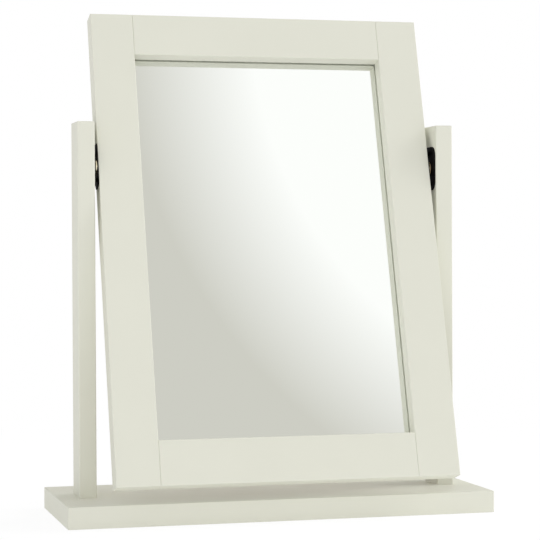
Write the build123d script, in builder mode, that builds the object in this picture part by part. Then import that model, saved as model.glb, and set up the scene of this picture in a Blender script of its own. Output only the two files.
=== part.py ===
"""Dressing table mirror: a painted frame that tilts between two posts on a base board.

Millimetres and degrees. +Z is up, the mirror faces -Y, and the origin is on the surface that the
mirror stands on, under the middle of the base. Left and right are as seen from the front.
"""
import os
from math import cos, radians, sin

from build123d import *

os.makedirs("parts", exist_ok=True)

# Fits shared by several pieces
hole_clearance = 0.1
running_clearance = 0.06
face_clearance = 0.2
cut_overrun = 1.0
dowel_end_gap = 1.0

# Base board
base_depth = 196.0
base_thickness = 26.0
base_end_margin = 25.0
base_round = 1.2
base_foot_round = 0.5

# Posts
post_width = 21.0
post_depth = 46.0
post_above_pivot = 53.0
post_round = 1.4
post_dowel_radius = 4.0
post_dowel_reach = 15.0
post_dowel_spread_share = 0.3
post_screw_radius = 2.5
post_screw_head_radius = 5.0
post_screw_grip = 38.0

# Mirror frame, measured in its own plane
rest_tilt = 16.3
frame_width = 416.0
frame_height = 582.0
stile_width = 52.0
top_rail_width = 52.0
bottom_rail_width = 53.5
lip_depth = 17.0
rebate_width = 8.0
frame_round = 0.6
frame_arris = 1.0
swing_clearance = 4.5
pivot_above_frame_bottom = 389.5
rail_dowel_radius = 4.0
rail_dowel_reach = 20.0
rail_dowel_spread_share = 0.26
dowel_chamfer = 0.8

# Glass, backing board and the clips that hold them in the rebate
glass_thickness = 4.0
backing_thickness = 4.0
pane_clearance = 1.0
clip_length = 24.0
clip_width = 10.0
clip_thickness = 1.0
clip_overlap = 9.0
clip_screw_inset = 5.0
clip_spread_share = 0.3
clip_screw_radius = 1.5
clip_screw_head_radius = 3.0
clip_screw_head_height = 1.6
clip_screw_length = 10.0

# Friction hinge, from the post's inner face towards the frame
post_plate_height = 54.0
post_plate_width = 40.0
post_plate_corner_radius = 12.0
post_plate_thickness = 1.4
post_plate_edge = 0.4
post_plate_screw_inset = 8.0
plate_screw_radius = 1.75
plate_screw_head_radius = 3.0
post_plate_screw_head_height = 1.4
plate_screw_length = 14.0
stud_radius = 3.0
stud_head_radius = 6.0
stud_head_thickness = 2.0
stud_head_pocket_gap = 0.4
stud_collar_radius = 5.0
stud_collar_thickness = 0.7
friction_washer_radius = 9.0
friction_washer_thickness = 0.7
bush_flange_thickness = 2.0
bush_flange_inset = 1.5
bush_radius = 5.0
frame_plate_thickness = 1.0
frame_plate_corner_radius = 6.0
frame_plate_edge = 0.3
frame_plate_margin = 3.5
frame_plate_end_margin = 7.5
frame_screw_head_radius = 2.75
frame_screw_head_height = 0.9
frame_screw_gap = 4.0
spring_washer_radius = 6.5
spring_washer_thickness = 0.8
spring_washer_cone = 0.5
nut_across_flats = 10.0
nut_thickness = 5.0
stud_end_length = 1.0
hinge_pocket_gap = 1.5
screw_point_chamfer = 0.9
drive_slot_width = 0.8
drive_slot_depth = 0.6
drive_slot_length_share = 1.3

# Worked out from the sizes above
sides = {"left": -1, "right": 1}
frame_thickness = lip_depth + glass_thickness + backing_thickness
hinge_gap = (post_plate_thickness + stud_collar_thickness + friction_washer_thickness + face_clearance
             + bush_flange_thickness + frame_plate_thickness)
post_inner_x = frame_width / 2 + hinge_gap
post_middle_x = post_inner_x + post_width / 2
base_width = 2 * (post_inner_x + post_width + base_end_margin)
pivot_height = base_thickness + swing_clearance + pivot_above_frame_bottom
post_height = pivot_height + post_above_pivot - base_thickness
post_dowel_spread = post_depth * post_dowel_spread_share
post_foot_places = [(side * post_middle_x, 0) for side in sides.values()]
post_dowel_places = [(x, step * post_dowel_spread) for x, y in post_foot_places for step in (-1, 1)]
post_screw_head_depth = post_screw_head_radius - post_screw_radius

frame_up = (0, sin(radians(rest_tilt)), cos(radians(rest_tilt)))
frame_front = (0, -cos(radians(rest_tilt)), sin(radians(rest_tilt)))
pivot = (0, 0, pivot_height)
frame_plane = Plane(origin=pivot, x_dir=(1, 0, 0), z_dir=frame_front)
back_plane = frame_plane.offset(-frame_thickness / 2)
front_axis = Axis(pivot, frame_front)
base_top_plane = Plane.XY.offset(base_thickness)

frame_bottom = -pivot_above_frame_bottom
frame_top = frame_bottom + frame_height
frame_middle = (frame_bottom + frame_top) / 2
opening_width = frame_width - 2 * stile_width
opening_bottom = frame_bottom + bottom_rail_width
opening_top = frame_top - top_rail_width
opening_height = opening_top - opening_bottom
opening_middle = (opening_bottom + opening_top) / 2
rebate_depth = glass_thickness + backing_thickness
rebate_size = (opening_width + 2 * rebate_width, opening_height + 2 * rebate_width)
pane_size = (rebate_size[0] - 2 * pane_clearance, rebate_size[1] - 2 * pane_clearance)

rail_middles = {"top": frame_top - top_rail_width / 2, "bottom": frame_bottom + bottom_rail_width / 2}
rail_widths = {"top": top_rail_width, "bottom": bottom_rail_width}
rail_dowel_places = [
    (rail_middles[rail] + step * rail_widths[rail] * rail_dowel_spread_share, 0)
    for rail in rail_middles
    for step in (-1, 1)
]

stud_hole_radius = stud_radius + hole_clearance
nut_corner_radius = nut_across_flats / 2 / cos(radians(30))
hinge_pocket_radius = max(nut_corner_radius, spring_washer_radius) + hinge_pocket_gap
hinge_pocket_depth = (face_clearance + spring_washer_thickness + spring_washer_cone + nut_thickness
                      + stud_end_length + hinge_pocket_gap)
frame_plate_width = 2 * (hinge_pocket_radius + frame_plate_margin)
bush_flange_radius = frame_plate_width / 2 - bush_flange_inset
frame_screw_spread = bush_flange_radius + frame_screw_gap + frame_screw_head_radius
frame_plate_height = 2 * (frame_screw_spread + frame_screw_head_radius + frame_plate_end_margin)
post_plate_screw_spread = post_plate_height / 2 - post_plate_screw_inset
post_plate_screw_places = [(-post_plate_screw_spread, 0), (post_plate_screw_spread, 0)]
frame_screw_places = [(-frame_screw_spread, 0), (frame_screw_spread, 0)]
collar_start = post_plate_thickness
washer_start = collar_start + stud_collar_thickness
bush_start = washer_start + friction_washer_thickness + face_clearance
frame_plate_start = bush_start + bush_flange_thickness
spring_start = hinge_gap + face_clearance
nut_start = spring_start + spring_washer_thickness + spring_washer_cone
stud_end = nut_start + nut_thickness + stud_end_length


def hinge_plane(side, distance):
    """Upright plane across the hinge axis, that far from the post's inner face, facing the frame."""
    origin = (side * (post_inner_x - distance), 0, pivot_height)
    return Plane(origin=origin, x_dir=(0, 0, 1), z_dir=(-side, 0, 0))


def frame_side_plane(side, distance):
    """The same plane turned with the frame, so that its first axis runs up the stile."""
    origin = (side * (post_inner_x - distance), 0, pivot_height)
    return Plane(origin=origin, x_dir=frame_up, z_dir=(-side, 0, 0))


def joint_plane(side):
    """Plane of the joint between a stile and the rails."""
    origin = (side * opening_width / 2, 0, pivot_height)
    return Plane(origin=origin, x_dir=frame_up, z_dir=(1, 0, 0))


def clip_places():
    """Place and turn of each clip on the frame's back, and the place of its screw."""
    reach = clip_length / 2 - clip_overlap
    screw_reach = clip_length - clip_overlap - clip_screw_inset
    clips = []
    screws = []
    for side in (-1, 1):
        for step in (-clip_spread_share, clip_spread_share):
            height = opening_middle + step * opening_height
            clips.append(Location((side * (rebate_size[0] / 2 + reach), height, 0)))
            screws.append((side * (rebate_size[0] / 2 + screw_reach), height))
            along = step * opening_width
            edge = rebate_size[1] / 2
            clips.append(Location((along, opening_middle + side * (edge + reach), 0), (0, 0, 90)))
            screws.append((along, opening_middle + side * (edge + screw_reach)))
    return clips, screws


def on_outline(edge):
    """True for a front edge that lies on the outline of the whole frame."""
    place = frame_plane.to_local_coords(edge.center())
    gaps = (abs(abs(place.X) - frame_width / 2), abs(place.Y - frame_top), abs(place.Y - frame_bottom))
    return min(gaps) < frame_arris / 2


def save(piece, label):
    piece.part.label = label
    export_step(piece.part, f"parts/{label}.step")


clip_locations, clip_screw_places = clip_places()


# Base board: eased edges, dowel holes from above and countersunk screw holes from below
with BuildPart() as base_board:
    with BuildSketch():
        Rectangle(base_width, base_depth)
    extrude(amount=base_thickness)
    fillet(base_board.edges().filter_by(Axis.Z), base_round)
    fillet(base_board.faces().sort_by(Axis.Z)[-1].edges(), base_round)
    fillet(base_board.faces().sort_by(Axis.Z)[0].edges(), base_foot_round)
    with BuildSketch(base_top_plane):
        with Locations(*post_dowel_places):
            Circle(post_dowel_radius + hole_clearance)
    extrude(amount=-(post_dowel_reach + dowel_end_gap), mode=Mode.SUBTRACT)
    foot_planes = [Plane(origin=(x, y, 0), z_dir=(0, 0, -1)) for x, y in post_foot_places]
    with Locations(*foot_planes):
        CounterSinkHole(
            post_screw_radius + hole_clearance,
            post_screw_head_radius + hole_clearance,
            depth=base_thickness + cut_overrun,
            counter_sink_angle=90,
        )
save(base_board, "base_board")

# Posts, with the holes in the foot and those for the hinge in the inner face
for name, side in sides.items():
    with BuildPart() as post:
        with BuildSketch(base_top_plane):
            with Locations((side * post_middle_x, 0)):
                Rectangle(post_width, post_depth)
        extrude(amount=post_height)
        fillet(post.edges().filter_by(Axis.Z), post_round)
        fillet(post.faces().sort_by(Axis.Z)[-1].edges(), post_round)
        with BuildSketch(base_top_plane):
            with Locations(*post_dowel_places):
                Circle(post_dowel_radius + hole_clearance)
        extrude(amount=post_dowel_reach + dowel_end_gap, mode=Mode.SUBTRACT)
        with BuildSketch(base_top_plane):
            with Locations((side * post_middle_x, 0)):
                Circle(post_screw_radius + hole_clearance)
        extrude(amount=post_screw_grip + cut_overrun, mode=Mode.SUBTRACT)
        with BuildSketch(hinge_plane(side, 0)):
            Circle(stud_head_radius + stud_head_pocket_gap)
        extrude(amount=-(stud_head_thickness + stud_head_pocket_gap), mode=Mode.SUBTRACT)
        with BuildSketch(hinge_plane(side, 0)):
            with Locations(*post_plate_screw_places):
                Circle(plate_screw_radius + hole_clearance)
        extrude(amount=-(plate_screw_length - post_plate_thickness + cut_overrun), mode=Mode.SUBTRACT)
    save(post, f"{name}_post")

# Dowels between posts and base
with BuildPart() as post_dowels:
    with BuildSketch(base_top_plane):
        with Locations(*post_dowel_places):
            Circle(post_dowel_radius)
    extrude(amount=post_dowel_reach, both=True)
    chamfer(post_dowels.edges().filter_by(GeomType.CIRCLE), dowel_chamfer)
save(post_dowels, "post_dowels")

# Screws from under the base into the posts: countersunk head, shank and slot
with BuildPart() as post_screws:
    with BuildSketch():
        with Locations(*post_foot_places):
            Circle(post_screw_head_radius)
    extrude(amount=post_screw_head_depth, taper=45)
    with BuildSketch(Plane.XY.offset(post_screw_head_depth)):
        with Locations(*post_foot_places):
            Circle(post_screw_radius)
    extrude(amount=base_thickness - post_screw_head_depth + post_screw_grip)
    chamfer(post_screws.faces().group_by(Axis.Z)[-1].edges(), screw_point_chamfer)
    with BuildSketch():
        with Locations(*post_foot_places):
            Rectangle(post_screw_head_radius * drive_slot_length_share, drive_slot_width)
            Rectangle(drive_slot_width, post_screw_head_radius * drive_slot_length_share)
    extrude(amount=drive_slot_depth, mode=Mode.SUBTRACT)
save(post_screws, "post_screws")

# Frame members: eased front edges, the glass rebate, and every hole that falls inside the member
member_boxes = {
    "left_stile": (-(frame_width - stile_width) / 2, frame_middle, stile_width, frame_height),
    "right_stile": ((frame_width - stile_width) / 2, frame_middle, stile_width, frame_height),
    "top_rail": (0, rail_middles["top"], opening_width, top_rail_width),
    "bottom_rail": (0, rail_middles["bottom"], opening_width, bottom_rail_width),
}
for name, (middle_x, middle_y, width, height) in member_boxes.items():
    with BuildPart() as member:
        with BuildSketch(back_plane):
            with Locations((middle_x, middle_y)):
                Rectangle(width, height)
        extrude(amount=frame_thickness)
        front_edges = member.faces().sort_by(front_axis)[-1].edges()
        fillet(front_edges.filter_by(lambda edge: not on_outline(edge)), frame_arris)
        front_edges = member.faces().sort_by(front_axis)[-1].edges()
        fillet(front_edges.filter_by(on_outline), frame_round)
        back_edges = member.faces().sort_by(front_axis)[0].edges()
        fillet(back_edges.filter_by(on_outline), frame_arris)
        with BuildSketch(back_plane):
            with Locations((0, opening_middle)):
                Rectangle(*rebate_size)
        extrude(amount=rebate_depth, mode=Mode.SUBTRACT)
        for side in sides.values():
            with BuildSketch(joint_plane(side)):
                with Locations(*rail_dowel_places):
                    Circle(rail_dowel_radius + hole_clearance)
            extrude(amount=rail_dowel_reach + dowel_end_gap, both=True, mode=Mode.SUBTRACT)
            with BuildSketch(frame_side_plane(side, hinge_gap)):
                Circle(hinge_pocket_radius)
            extrude(amount=hinge_pocket_depth, mode=Mode.SUBTRACT)
            with BuildSketch(frame_side_plane(side, hinge_gap)):
                with Locations(*frame_screw_places):
                    Circle(plate_screw_radius + hole_clearance)
            extrude(amount=plate_screw_length - frame_plate_thickness + cut_overrun, mode=Mode.SUBTRACT)
        with BuildSketch(back_plane):
            with Locations(*clip_screw_places):
                Circle(clip_screw_radius + hole_clearance)
        extrude(amount=clip_screw_length, mode=Mode.SUBTRACT)
    save(member, name)

# Dowels between stiles and rails
with BuildPart() as rail_dowels:
    for side in sides.values():
        with BuildSketch(joint_plane(side)):
            with Locations(*rail_dowel_places):
                Circle(rail_dowel_radius)
        extrude(amount=rail_dowel_reach, both=True)
    chamfer(rail_dowels.edges().filter_by(GeomType.CIRCLE), dowel_chamfer)
save(rail_dowels, "rail_dowels")

# Mirror glass against the lip, and the backing board behind it
with BuildPart() as mirror_glass:
    with BuildSketch(back_plane.offset(backing_thickness)):
        with Locations((0, opening_middle)):
            Rectangle(*pane_size)
    extrude(amount=glass_thickness)
save(mirror_glass, "mirror_glass")

with BuildPart() as backing_board:
    with BuildSketch(back_plane):
        with Locations((0, opening_middle)):
            Rectangle(*pane_size)
    extrude(amount=backing_thickness)
save(backing_board, "backing_board")

# Clips that hold the backing board in the rebate, and their screws
with BuildPart() as turn_clips:
    with BuildSketch(back_plane):
        with Locations(*clip_locations):
            SlotOverall(clip_length, clip_width)
        with Locations(*clip_screw_places):
            Circle(clip_screw_radius + hole_clearance, mode=Mode.SUBTRACT)
    extrude(amount=-clip_thickness)
save(turn_clips, "turn_clips")

with BuildPart() as turn_clip_screws:
    with BuildSketch(back_plane.offset(-clip_thickness)):
        with Locations(*clip_screw_places):
            Circle(clip_screw_radius)
    extrude(amount=clip_screw_length)
    chamfer(turn_clip_screws.faces().group_by(front_axis)[-1].edges(), screw_point_chamfer)
    with BuildSketch(back_plane.offset(-clip_thickness)):
        with Locations(*clip_screw_places):
            Circle(clip_screw_head_radius)
    extrude(amount=-clip_screw_head_height)
    fillet(turn_clip_screws.faces().group_by(front_axis)[0].edges(), clip_screw_head_height / 2)
    with BuildSketch(back_plane.offset(-clip_thickness - clip_screw_head_height)):
        with Locations(*clip_screw_places):
            Rectangle(clip_screw_head_radius * drive_slot_length_share, drive_slot_width)
            Rectangle(drive_slot_width, clip_screw_head_radius * drive_slot_length_share)
    extrude(amount=drive_slot_depth, mode=Mode.SUBTRACT)
save(turn_clip_screws, "turn_clip_screws")

# Friction hinge on each side
for name, side in sides.items():
    # Round-cornered plate on the post
    with BuildPart() as post_plate:
        with BuildSketch(hinge_plane(side, 0)):
            RectangleRounded(post_plate_height, post_plate_width, post_plate_corner_radius)
            Circle(stud_hole_radius, mode=Mode.SUBTRACT)
            with Locations(*post_plate_screw_places):
                Circle(plate_screw_radius + hole_clearance, mode=Mode.SUBTRACT)
        extrude(amount=post_plate_thickness)
        plate_face = post_plate.faces().sort_by(Axis.X)[0 if side > 0 else -1]
        chamfer(plate_face.outer_wire().edges(), post_plate_edge)
    save(post_plate, f"{name}_post_plate")

    # Stud riveted through the post plate: head behind it, collar before it, shank through the hinge
    with BuildPart() as pivot_stud:
        with BuildSketch(hinge_plane(side, -stud_head_thickness)):
            Circle(stud_head_radius)
        extrude(amount=stud_head_thickness)
        with BuildSketch(hinge_plane(side, 0)):
            Circle(stud_radius)
        extrude(amount=stud_end)
        with BuildSketch(hinge_plane(side, collar_start)):
            Circle(stud_collar_radius)
        extrude(amount=stud_collar_thickness)
    save(pivot_stud, f"{name}_pivot_stud")

    # Fibre washer that rubs on the bush's flange
    with BuildPart() as friction_washer:
        with BuildSketch(hinge_plane(side, washer_start)):
            Circle(friction_washer_radius)
            Circle(stud_hole_radius, mode=Mode.SUBTRACT)
        extrude(amount=friction_washer_thickness)
    save(friction_washer, f"{name}_friction_washer")

    # Plate on the frame's side
    with BuildPart() as frame_plate:
        with BuildSketch(frame_side_plane(side, frame_plate_start)):
            RectangleRounded(frame_plate_height, frame_plate_width, frame_plate_corner_radius)
            Circle(bush_radius + hole_clearance, mode=Mode.SUBTRACT)
            with Locations(*frame_screw_places):
                Circle(plate_screw_radius + hole_clearance, mode=Mode.SUBTRACT)
        extrude(amount=frame_plate_thickness)
        plate_face = frame_plate.faces().sort_by(Axis.X)[-1 if side > 0 else 0]
        chamfer(plate_face.outer_wire().edges(), frame_plate_edge)
    save(frame_plate, f"{name}_frame_plate")

    # Flanged bush in that plate, which turns on the stud
    with BuildPart() as pivot_bush:
        with BuildSketch(frame_side_plane(side, bush_start)):
            Circle(bush_flange_radius)
        extrude(amount=bush_flange_thickness)
        flange_face = pivot_bush.faces().sort_by(Axis.X)[-1 if side > 0 else 0]
        chamfer(flange_face.outer_wire().edges(), frame_plate_edge)
        with BuildSketch(frame_side_plane(side, frame_plate_start)):
            Circle(bush_radius)
        extrude(amount=frame_plate_thickness)
        with BuildSketch(frame_side_plane(side, bush_start)):
            Circle(stud_radius + running_clearance)
        extrude(amount=bush_flange_thickness + frame_plate_thickness, mode=Mode.SUBTRACT)
    save(pivot_bush, f"{name}_pivot_bush")

    # Coned spring washer and nut in the stile's pocket
    with BuildPart() as spring_washer:
        section = Plane(origin=(side * post_inner_x, 0, pivot_height), x_dir=(0, 0, 1), z_dir=(0, -side, 0))
        with BuildSketch(section):
            with BuildLine():
                Polyline(
                    (stud_hole_radius, spring_start + spring_washer_cone),
                    (spring_washer_radius, spring_start),
                    (spring_washer_radius, spring_start + spring_washer_thickness),
                    (stud_hole_radius, spring_start + spring_washer_cone + spring_washer_thickness),
                    close=True,
                )
            make_face()
        revolve(axis=Axis(pivot, (1, 0, 0)))
    save(spring_washer, f"{name}_spring_washer")

    with BuildPart() as pivot_nut:
        with BuildSketch(hinge_plane(side, nut_start)):
            RegularPolygon(nut_across_flats / 2, 6, major_radius=False)
            Circle(stud_hole_radius, mode=Mode.SUBTRACT)
        extrude(amount=nut_thickness)
    save(pivot_nut, f"{name}_pivot_nut")

# Screws of the post plates and of the frame plates: low round heads with a cross slot
with BuildPart() as post_plate_screws:
    for side in sides.values():
        with BuildSketch(hinge_plane(side, post_plate_thickness)):
            with Locations(*post_plate_screw_places):
                Circle(plate_screw_radius)
        extrude(amount=-plate_screw_length)
        with BuildSketch(hinge_plane(side, post_plate_thickness)):
            with Locations(*post_plate_screw_places):
                Circle(plate_screw_head_radius)
        extrude(amount=post_plate_screw_head_height)
        with BuildSketch(hinge_plane(side, post_plate_thickness + post_plate_screw_head_height)):
            with Locations(*post_plate_screw_places):
                Rectangle(plate_screw_head_radius * drive_slot_length_share, drive_slot_width)
                Rectangle(drive_slot_width, plate_screw_head_radius * drive_slot_length_share)
        extrude(amount=-drive_slot_depth, mode=Mode.SUBTRACT)
save(post_plate_screws, "post_plate_screws")

with BuildPart() as frame_plate_screws:
    for side in sides.values():
        with BuildSketch(frame_side_plane(side, frame_plate_start)):
            with Locations(*frame_screw_places):
                Circle(plate_screw_radius)
        extrude(amount=plate_screw_length)
        with BuildSketch(frame_side_plane(side, frame_plate_start)):
            with Locations(*frame_screw_places):
                Circle(frame_screw_head_radius)
        extrude(amount=-frame_screw_head_height)
        with BuildSketch(frame_side_plane(side, frame_plate_start - frame_screw_head_height)):
            with Locations(*frame_screw_places):
                Rectangle(frame_screw_head_radius * drive_slot_length_share, drive_slot_width)
                Rectangle(drive_slot_width, frame_screw_head_radius * drive_slot_length_share)
        extrude(amount=drive_slot_depth, mode=Mode.SUBTRACT)
save(frame_plate_screws, "frame_plate_screws")
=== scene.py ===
"""Looks of the dressing table mirror: its finishes, the studio around it and the camera.

Metres, +Z up, the mirror faces -Y. Every CAD node keeps its shape and gets a procedural finish. The mirror
pane is replaced by its silvered layer, set back by the apparent depth of the glass in front of it.
"""

import math

import bmesh
import bpy
from mathutils import Color, Matrix, Quaternion, Vector


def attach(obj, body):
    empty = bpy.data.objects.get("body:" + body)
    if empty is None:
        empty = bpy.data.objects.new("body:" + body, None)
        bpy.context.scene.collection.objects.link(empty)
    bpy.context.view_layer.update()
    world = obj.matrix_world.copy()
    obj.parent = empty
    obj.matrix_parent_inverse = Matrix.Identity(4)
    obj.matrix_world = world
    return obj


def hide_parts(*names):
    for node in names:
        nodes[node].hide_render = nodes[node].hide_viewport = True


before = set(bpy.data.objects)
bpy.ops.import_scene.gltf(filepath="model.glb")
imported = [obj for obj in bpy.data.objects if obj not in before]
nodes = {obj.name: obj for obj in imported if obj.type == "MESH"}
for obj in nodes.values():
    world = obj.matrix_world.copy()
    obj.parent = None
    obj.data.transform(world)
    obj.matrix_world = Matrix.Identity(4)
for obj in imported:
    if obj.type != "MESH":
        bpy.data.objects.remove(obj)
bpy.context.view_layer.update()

# Photograph's camera, found from the object's edges: direction, distance, roll and focal length
IMAGE_SIDE = 540
SENSOR_WIDTH = 36.0
FOCAL_PIXELS = 1901.3
CAMERA_AZIMUTH = math.radians(-14.71)
CAMERA_ELEVATION = math.radians(0.652)
CAMERA_ROLL = math.radians(-0.277)
CAMERA_DISTANCE = 2.3332
CAMERA_TARGET = Vector((0.0059, 0.0, 0.2947))
CAMERA_REACH = 100.0

# Mirror pane
GLASS_REFRACTION = 1.52
PANE_ARRIS = 0.0006

# Finishes: steps of a colour's channel, and the noise values between which a finish runs from low to high
COLOUR_STEPS = 255
NOISE_SPAN = (0.3, 0.7)

# Floor: its paint, its own faint light on the object, and the share of plain white that the camera sees, from
# the share beside the object to the whole of it, over these distances from the middle
FLOOR_RADIUS = 12.0
FLOOR_SIDES = 96
FLOOR_WHITE = 0.9
FLOOR_ROUGHNESS = 0.9
FLOOR_LIGHT = 0.22
FLOOR_GLOW = 0.85
FLOOR_SHADE_REACH = (0.45, 1.1)

# Sky: an even light on the object, and the white horizon and dimmer room that the camera and the mirror see
SKY_LIGHT = (0.68, 0.68, 0.68, 1)
HORIZON_WHITE = (1.0, 1.0, 1.0, 1)
ROOM_DIM = (0.715, 0.705, 0.652, 1)
HORIZON_EDGE = (math.sin(math.radians(12)), math.sin(math.radians(22)))

# White screens in that room, one that the mirror shows and one that only lights the paint by way of the
# mirror: degrees to the right of the front, degrees up, the degrees from its middle over which a screen fades
# out, and brightness
SHOWN_SCREEN = (32.9, 35.6, (12.2, 16.1), 1.14)
LIGHTING_SCREEN = (-50.0, 10.0, (34.0, 44.0), 2.4)

# Lamps: degrees to the right of the front, degrees up, degrees across, and strength
LAMPS = {
    "side_softbox": (90.0, 30.0, 40.0, 1.5),
    "front_fill": (-22.0, 8.0, 45.0, 0.56),
}

# Sockets of a mix node that take and give colours
MIX_FIRST, MIX_SECOND, MIX_RESULT = 6, 7, 2


def linear(red, green, blue):
    """Scene colour of an sRGB colour given in steps of 0 to 255."""
    shares = [step / COLOUR_STEPS for step in (red, green, blue)]
    return (*Color(shares).from_srgb_to_scene_linear(), 1.0)


def grey(value):
    """Colour of three equal channels, which a plain value socket reads as that value."""
    return (value, value, value, 1.0)


def new_material(name):
    """A node material, its tree and its shader."""
    material = bpy.data.materials.new(name)
    material.use_nodes = True
    return material, material.node_tree, material.node_tree.nodes["Principled BSDF"]


def noise(tree, scale, detail=2.0, stretch=(1, 1, 1)):
    """Noise over the object's own coordinates, drawn out along an axis whose stretch is below 1."""
    place = tree.nodes.new("ShaderNodeTexCoord")
    spread = tree.nodes.new("ShaderNodeMapping")
    spread.inputs["Scale"].default_value = stretch
    texture = tree.nodes.new("ShaderNodeTexNoise")
    texture.inputs["Scale"].default_value = scale
    texture.inputs["Detail"].default_value = detail
    tree.links.new(place.outputs["Object"], spread.inputs["Vector"])
    tree.links.new(spread.outputs["Vector"], texture.inputs["Vector"])
    return texture.outputs["Fac"]


def vary(tree, factor, socket, low, high):
    """Runs a socket between two colours by a noise."""
    ramp = tree.nodes.new("ShaderNodeValToRGB")
    first, last = ramp.color_ramp.elements
    first.position, last.position = NOISE_SPAN
    first.color, last.color = low, high
    tree.links.new(factor, ramp.inputs["Fac"])
    tree.links.new(ramp.outputs["Color"], socket)


def bump(tree, shader, height, distance):
    """Raises the surface by a noise, over a real distance in metres."""
    node = tree.nodes.new("ShaderNodeBump")
    node.inputs["Strength"].default_value = 1.0
    node.inputs["Distance"].default_value = distance
    tree.links.new(height, node.inputs["Height"])
    tree.links.new(node.outputs["Normal"], shader.inputs["Normal"])


def paint():
    """Eggshell off-white paint: faint tone changes and an even, nearly flat skin."""
    material, tree, shader = new_material("eggshell_paint")
    tone = noise(tree, scale=9.0)
    sheen = noise(tree, scale=40.0)
    vary(tree, tone, shader.inputs["Base Color"], low=linear(221, 221, 208), high=linear(223, 223, 210))
    vary(tree, sheen, shader.inputs["Roughness"], low=grey(0.52), high=grey(0.58))
    shader.inputs["Specular IOR Level"].default_value = 0.3
    return material


def beech():
    """Bare beech with a short fleck along the grain."""
    material, tree, shader = new_material("beech")
    grain = noise(tree, scale=300.0, detail=4.0, stretch=(0.15, 1, 1))
    vary(tree, grain, shader.inputs["Base Color"], low=linear(190, 150, 108), high=linear(222, 188, 146))
    shader.inputs["Roughness"].default_value = 0.6
    return material


def hardboard():
    """Smooth brown hardboard with pressed fibres."""
    material, tree, shader = new_material("hardboard")
    fibres = noise(tree, scale=260.0, detail=8.0)
    sheen = noise(tree, scale=30.0)
    grain = noise(tree, scale=700.0, detail=6.0)
    vary(tree, fibres, shader.inputs["Base Color"], low=linear(120, 88, 60), high=linear(150, 114, 80))
    vary(tree, sheen, shader.inputs["Roughness"], low=grey(0.5), high=grey(0.65))
    bump(tree, shader, grain, distance=0.00008)
    return material


def mirror_silver():
    """Silvering behind clear glass."""
    material, tree, shader = new_material("mirror_silver")
    haze = noise(tree, scale=6.0)
    shader.inputs["Metallic"].default_value = 1.0
    shader.inputs["Base Color"].default_value = linear(238, 240, 237)
    vary(tree, haze, shader.inputs["Roughness"], low=grey(0.0), high=grey(0.012))
    return material


def black_metal():
    """Satin black lacquer over stamped steel."""
    material, tree, shader = new_material("black_metal")
    tone = noise(tree, scale=500.0)
    sheen = noise(tree, scale=200.0)
    vary(tree, tone, shader.inputs["Base Color"], low=linear(4, 4, 4), high=linear(9, 8, 8))
    vary(tree, sheen, shader.inputs["Roughness"], low=grey(0.5), high=grey(0.6))
    shader.inputs["Specular IOR Level"].default_value = 0.06
    return material


def brass():
    """Pale satin brass with fine rolling lines."""
    material, tree, shader = new_material("brass")
    lines = noise(tree, scale=700.0, detail=3.0, stretch=(1, 1, 0.1))
    shader.inputs["Metallic"].default_value = 1.0
    vary(tree, lines, shader.inputs["Base Color"], low=linear(234, 222, 188), high=linear(246, 238, 212))
    vary(tree, lines, shader.inputs["Roughness"], low=grey(0.16), high=grey(0.26))
    return material


def steel():
    """Zinc-plated steel."""
    material, tree, shader = new_material("zinc_steel")
    spangle = noise(tree, scale=600.0, detail=3.0)
    shader.inputs["Metallic"].default_value = 1.0
    vary(tree, spangle, shader.inputs["Base Color"], low=linear(196, 198, 200), high=linear(224, 225, 226))
    vary(tree, spangle, shader.inputs["Roughness"], low=grey(0.2), high=grey(0.35))
    return material


def fibre():
    """Tan pressed fibre."""
    material, tree, shader = new_material("fibre")
    fleck = noise(tree, scale=900.0, detail=3.0)
    vary(tree, fleck, shader.inputs["Base Color"], low=linear(176, 150, 112), high=linear(198, 172, 134))
    shader.inputs["Roughness"].default_value = 0.7
    return material


# Which nodes take each finish
FINISH_NODES = {
    paint: ("base_board", "left_post", "right_post", "left_stile", "right_stile", "top_rail", "bottom_rail"),
    beech: ("post_dowels", "rail_dowels"),
    hardboard: ("backing_board",),
    black_metal: ("left_post_plate", "right_post_plate", "post_plate_screws", "left_frame_plate",
                  "right_frame_plate", "frame_plate_screws"),
    brass: ("left_pivot_bush", "right_pivot_bush"),
    steel: ("post_screws", "left_pivot_stud", "right_pivot_stud", "left_spring_washer", "right_spring_washer",
            "left_pivot_nut", "right_pivot_nut", "turn_clips", "turn_clip_screws"),
    fibre: ("left_friction_washer", "right_friction_washer"),
}


def dress(piece, material):
    """Gives a piece one material all over."""
    piece.data.materials.clear()
    piece.data.materials.append(material)


def dress_nodes():
    """Gives every CAD node but the pane its finish."""
    for finish, names in FINISH_NODES.items():
        material = finish()
        for name in names:
            dress(nodes[name], material)


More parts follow.
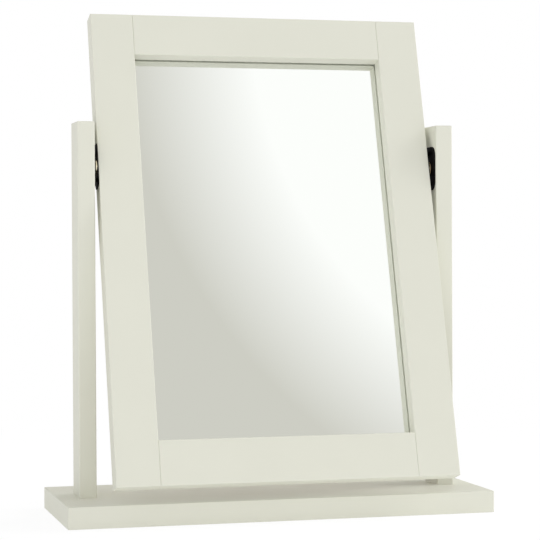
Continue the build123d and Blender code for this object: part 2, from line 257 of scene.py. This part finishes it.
def silvered_pane():
    """Silvered layer of the mirror: the pane's box from the apparent depth of its silver to its back."""
    pane = nodes["mirror_glass"].data
    front_faces = [face for face in pane.polygons if face.normal.y < 0]
    front = max(front_faces, key=lambda face: face.area).normal.copy()
    across = Vector((1, 0, 0))
    axes = (across, front.cross(across), front)
    reach = [[vertex.co.dot(axis) for vertex in pane.vertices] for axis in axes]
    low = Vector([min(values) for values in reach])
    high = Vector([max(values) for values in reach])
    high.z -= (high.z - low.z) / GLASS_REFRACTION
    middle, size = (low + high) / 2, high - low
    turn = Matrix(axes).transposed().to_4x4()
    box = turn @ Matrix.Translation(middle) @ Matrix.Diagonal((*size, 1))
    mesh = bpy.data.meshes.new("mirror_silver")
    shape = bmesh.new()
    bmesh.ops.create_cube(shape, size=1, matrix=box)
    bmesh.ops.bevel(shape, geom=shape.edges[:], offset=PANE_ARRIS, segments=1, affect="EDGES")
    shape.to_mesh(mesh)
    shape.free()
    silver = bpy.data.objects.new("mirror_silver", mesh)
    bpy.context.scene.collection.objects.link(silver)
    dress(silver, mirror_silver())
    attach(silver, "mirror")
    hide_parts("mirror_glass")


def seen_directly(tree):
    """1 for what the camera sees itself, in a reflection or through glass, else 0."""
    path = tree.nodes.new("ShaderNodeLightPath")
    seen = path.outputs["Is Camera Ray"]
    for ray in ("Is Glossy Ray", "Is Transmission Ray"):
        either = tree.nodes.new("ShaderNodeMath")
        either.operation = "MAXIMUM"
        tree.links.new(seen, either.inputs[0])
        tree.links.new(path.outputs[ray], either.inputs[1])
        seen = either.outputs["Value"]
    return seen


def studio_floor():
    """White floor: its own white to the camera and in reflections, with a shadow close to the object."""
    bpy.ops.mesh.primitive_circle_add(vertices=FLOOR_SIDES, radius=FLOOR_RADIUS, fill_type="NGON")
    floor = bpy.context.object
    floor.name = "studio_floor"
    material, tree, shader = new_material("studio_floor")
    shader.inputs["Base Color"].default_value = grey(FLOOR_WHITE)
    shader.inputs["Roughness"].default_value = FLOOR_ROUGHNESS
    shader.inputs["Specular IOR Level"].default_value = 0.0
    shader.inputs["Emission Color"].default_value = (1, 1, 1, 1)
    shader.inputs["Emission Strength"].default_value = FLOOR_LIGHT
    place = tree.nodes.new("ShaderNodeTexCoord")
    reach = tree.nodes.new("ShaderNodeVectorMath")
    reach.operation = "LENGTH"
    tree.links.new(place.outputs["Object"], reach.inputs[0])
    glow = tree.nodes.new("ShaderNodeMapRange")
    glow.inputs["From Min"].default_value, glow.inputs["From Max"].default_value = FLOOR_SHADE_REACH
    glow.inputs["To Min"].default_value = FLOOR_GLOW
    tree.links.new(reach.outputs["Value"], glow.inputs["Value"])
    both = tree.nodes.new("ShaderNodeMath")
    both.operation = "MULTIPLY"
    tree.links.new(seen_directly(tree), both.inputs[0])
    tree.links.new(glow.outputs["Result"], both.inputs[1])
    white = tree.nodes.new("ShaderNodeEmission")
    mix = tree.nodes.new("ShaderNodeMixShader")
    tree.links.new(both.outputs["Value"], mix.inputs["Fac"])
    tree.links.new(shader.outputs["BSDF"], mix.inputs[1])
    tree.links.new(white.outputs["Emission"], mix.inputs[2])
    tree.links.new(mix.outputs["Shader"], tree.nodes["Material Output"].inputs["Surface"])
    dress(floor, material)


def direction(azimuth, elevation):
    """Unit vector from the object, turned to the right of the front and up, in radians."""
    flat = math.cos(elevation)
    return Vector((math.sin(azimuth) * flat, -math.cos(azimuth) * flat, math.sin(elevation)))


def blend_by(tree, value, start, end, first, second):
    """Colour that runs from first to second while a value runs from start to end.

    First and second are each a colour, or a socket that gives one.
    """
    span = tree.nodes.new("ShaderNodeMapRange")
    span.inputs["From Min"].default_value = start
    span.inputs["From Max"].default_value = end
    tree.links.new(value, span.inputs["Value"])
    mix = tree.nodes.new("ShaderNodeMix")
    mix.data_type = "RGBA"
    tree.links.new(span.outputs["Result"], mix.inputs["Factor"])
    for colour, socket in ((first, mix.inputs[MIX_FIRST]), (second, mix.inputs[MIX_SECOND])):
        if isinstance(colour, bpy.types.NodeSocket):
            tree.links.new(colour, socket)
        else:
            socket.default_value = colour
    return mix.outputs[MIX_RESULT]


def screen(tree, place, azimuth, elevation, edge, brightness, around):
    """Colour of a round white screen in one direction, with another colour around it."""
    towards = tree.nodes.new("ShaderNodeVectorMath")
    towards.operation = "DOT_PRODUCT"
    towards.inputs[1].default_value = direction(math.radians(azimuth), math.radians(elevation))
    tree.links.new(place, towards.inputs[0])
    angle = tree.nodes.new("ShaderNodeMath")
    angle.operation = "ARCCOSINE"
    tree.links.new(towards.outputs["Value"], angle.inputs[0])
    start, end = (math.radians(degrees) for degrees in edge)
    return blend_by(tree, angle.outputs["Value"], start, end, grey(brightness), around)


def studio_world():
    """Even sky, seen by camera and mirror as a white horizon, a dimmer room and a white screen in it.

    Paint that is lit by way of the mirror gets the light of one more screen.
    """
    world = bpy.data.worlds.new("studio")
    bpy.context.scene.world = world
    world.use_nodes = True
    tree = world.node_tree
    place = tree.nodes.new("ShaderNodeTexCoord")
    parts = tree.nodes.new("ShaderNodeSeparateXYZ")
    tree.links.new(place.outputs["Generated"], parts.inputs["Vector"])
    view = blend_by(tree, parts.outputs["Z"], *HORIZON_EDGE, HORIZON_WHITE, ROOM_DIM)
    view = screen(tree, place.outputs["Generated"], *SHOWN_SCREEN, view)
    lit = screen(tree, place.outputs["Generated"], *LIGHTING_SCREEN, view)
    path = tree.nodes.new("ShaderNodeLightPath")
    view = blend_by(tree, path.outputs["Diffuse Depth"], 0, 1, view, lit)
    sky = blend_by(tree, seen_directly(tree), 0, 1, SKY_LIGHT, view)
    tree.links.new(sky, tree.nodes["Background"].inputs["Color"])


def lamp(name, azimuth, elevation, across, strength):
    """Distant soft lamp on the object."""
    data = bpy.data.lights.new(name, "SUN")
    data.angle = math.radians(across)
    data.energy = strength
    source = bpy.data.objects.new(name, data)
    bpy.context.scene.collection.objects.link(source)
    source.rotation_mode = "QUATERNION"
    away = -direction(math.radians(azimuth), math.radians(elevation))
    source.rotation_quaternion = away.to_track_quat("-Z", "Y")


def camera():
    """Camera at the photograph's place."""
    data = bpy.data.cameras.new("camera")
    data.sensor_width = SENSOR_WIDTH
    data.lens = FOCAL_PIXELS / IMAGE_SIDE * SENSOR_WIDTH
    data.clip_end = CAMERA_REACH
    eye = bpy.data.objects.new("camera", data)
    bpy.context.scene.collection.objects.link(eye)
    back = direction(CAMERA_AZIMUTH, CAMERA_ELEVATION)
    eye.location = CAMERA_TARGET + back * CAMERA_DISTANCE
    eye.rotation_mode = "QUATERNION"
    eye.rotation_quaternion = (-back).to_track_quat("-Z", "Y") @ Quaternion((0, 0, 1), CAMERA_ROLL)
    bpy.context.scene.camera = eye


dress_nodes()
silvered_pane()
studio_floor()
studio_world()
for lamp_name, placing in LAMPS.items():
    lamp(lamp_name, *placing)
camera()
bpy.context.scene.view_settings.view_transform = "Standard"
